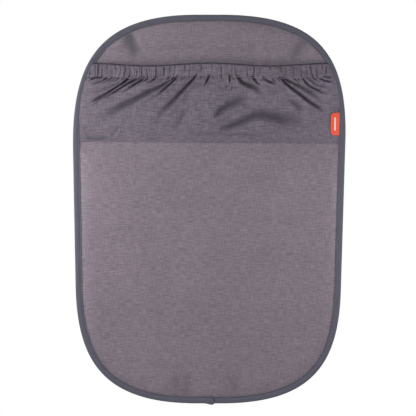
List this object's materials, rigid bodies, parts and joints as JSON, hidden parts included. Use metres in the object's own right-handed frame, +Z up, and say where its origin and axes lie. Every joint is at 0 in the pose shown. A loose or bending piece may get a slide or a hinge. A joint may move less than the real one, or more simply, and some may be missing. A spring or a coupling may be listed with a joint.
{
  "type": "car seat back protector",
  "caption": "Oval cloth mat that hangs behind a car seat, with an elastic gathered pocket across the top, a taped edge and fixing straps behind.",
  "frame": {"origin": "middle of the flat back face, where the mat bears on the seat back", "axes": "+Z up as it hangs, +Y out of the back face towards the seat, +X to the right as seen from the front, which faces -Y"},
  "size_m": [0.4453, 0.023, 0.6362],
  "materials": {
    "face_cloth": "woven",
    "binding_tape": "woven",
    "backing_cloth": "woven",
    "elastic": "knitted",
    "webbing": "woven",
    "label_ribbon": "satin"
  },
  "bodies": {
    "root": {"front_panel": "face_cloth", "back_panel": "backing_cloth", "edge_binding": "binding_tape", "pocket_panel": "face_cloth", "pocket_elastic": "elastic", "side_label": "label_ribbon", "headrest_strap_left": "webbing", "headrest_strap_right": "webbing", "strap_hook_patch": "webbing", "strap_loop_patch": "webbing", "lower_band": "elastic"}
  },
  "joints": []
}
